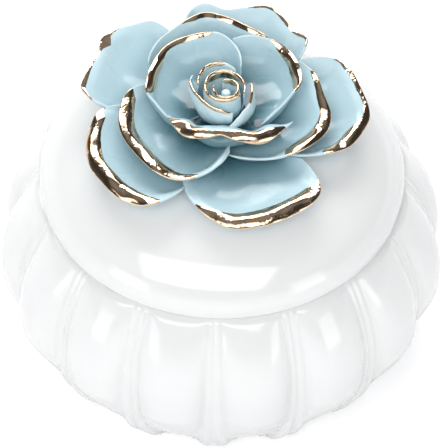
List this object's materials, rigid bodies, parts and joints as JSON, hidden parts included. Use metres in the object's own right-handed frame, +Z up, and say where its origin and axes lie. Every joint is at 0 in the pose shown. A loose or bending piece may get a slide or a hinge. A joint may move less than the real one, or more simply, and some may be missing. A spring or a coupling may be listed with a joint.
{
  "type": "vanity trinket box",
  "caption": "Round fluted porcelain trinket box with a domed lift-off lid and a hand-built gilt-edged rose as its knob.",
  "frame": {"origin": "centre of the foot ring, on the surface the box stands on, which is the bottom centre of its bounding box", "axes": "+Z up along the axis of the bowl and lid, -Y to the front of the rose"},
  "size_m": [0.1084, 0.1084, 0.0827],
  "materials": {
    "porcelain": "white glazed porcelain, opaque, high gloss",
    "rose_glaze": "pale blue glazed porcelain, opaque, glossy, with gold lustre painted on the rims"
  },
  "bodies": {
    "bowl": {"bowl": "porcelain"},
    "lid": {"lid": "porcelain", "rose_base": "rose_glaze", "outer_petal_1": "rose_glaze", "outer_petal_2": "rose_glaze", "outer_petal_3": "rose_glaze", "outer_petal_4": "rose_glaze", "outer_petal_5": "rose_glaze", "middle_petal_1": "rose_glaze", "middle_petal_2": "rose_glaze", "middle_petal_3": "rose_glaze", "inner_petal_1": "rose_glaze", "inner_petal_2": "rose_glaze", "inner_petal_3": "rose_glaze", "bud_petal_1": "rose_glaze", "bud_petal_2": "rose_glaze", "bud_petal_3": "rose_glaze", "bud_scroll_outer": "rose_glaze", "bud_scroll_inner": "rose_glaze", "bud_core": "rose_glaze"}
  },
  "joints": [
    {"name": "lid_lift", "type": "slide", "parent": "bowl", "child": "lid", "axis": [0, 0, 1], "range_m": [0, 0.06]}
  ]
}
